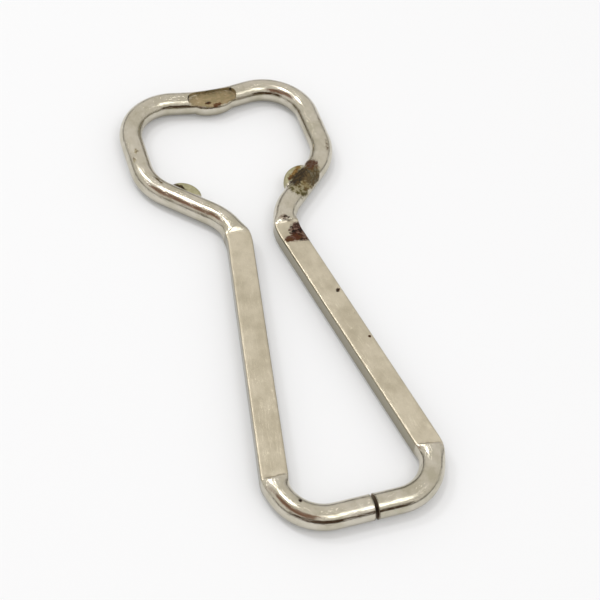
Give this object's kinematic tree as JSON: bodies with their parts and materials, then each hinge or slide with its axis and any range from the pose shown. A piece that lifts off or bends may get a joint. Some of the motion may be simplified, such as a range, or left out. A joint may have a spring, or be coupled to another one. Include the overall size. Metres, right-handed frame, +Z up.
{
  "type": "key-ring bottle opener",
  "caption": "Pocket bottle opener bent from one round wire: a loop head with lobes that catch a crown cap, a waisted neck and a tapering flat-pressed grip that takes a key ring.",
  "frame": {"origin": "on the table, under the middle of the opener's box", "axes": "+X across the opener from left to right, +Y from the key-ring bar to the head, +Z up out of the flat-lying opener"},
  "size_m": [0.0328, 0.0825, 0.0036],
  "materials": {
    "nickel_plate": "worn nickel plate on round steel wire, glossy",
    "pressed_nickel": "nickel plate pressed flat, satin, finely scratched",
    "stained_nickel": "nickel plate worn through at the lugs, olive and brown tarnish"
  },
  "bodies": {
    "root": {"base_bar_left": "nickel_plate", "base_bar_right": "nickel_plate", "base_bend_left": "nickel_plate", "base_bend_right": "nickel_plate", "grip_flat_left": "pressed_nickel", "grip_flat_right": "pressed_nickel", "neck_bend_left": "nickel_plate", "neck_bend_right": "nickel_plate", "shoulder_lug_left": "stained_nickel", "shoulder_lug_right": "stained_nickel", "shoulder_bend_left": "nickel_plate", "shoulder_bend_right": "nickel_plate", "head_side_left": "nickel_plate", "head_side_right": "nickel_plate", "head_corner_left": "nickel_plate", "head_corner_right": "nickel_plate", "head_bar_left": "nickel_plate", "head_bar_right": "nickel_plate", "crown_lug": "stained_nickel"}
  },
  "joints": []
}
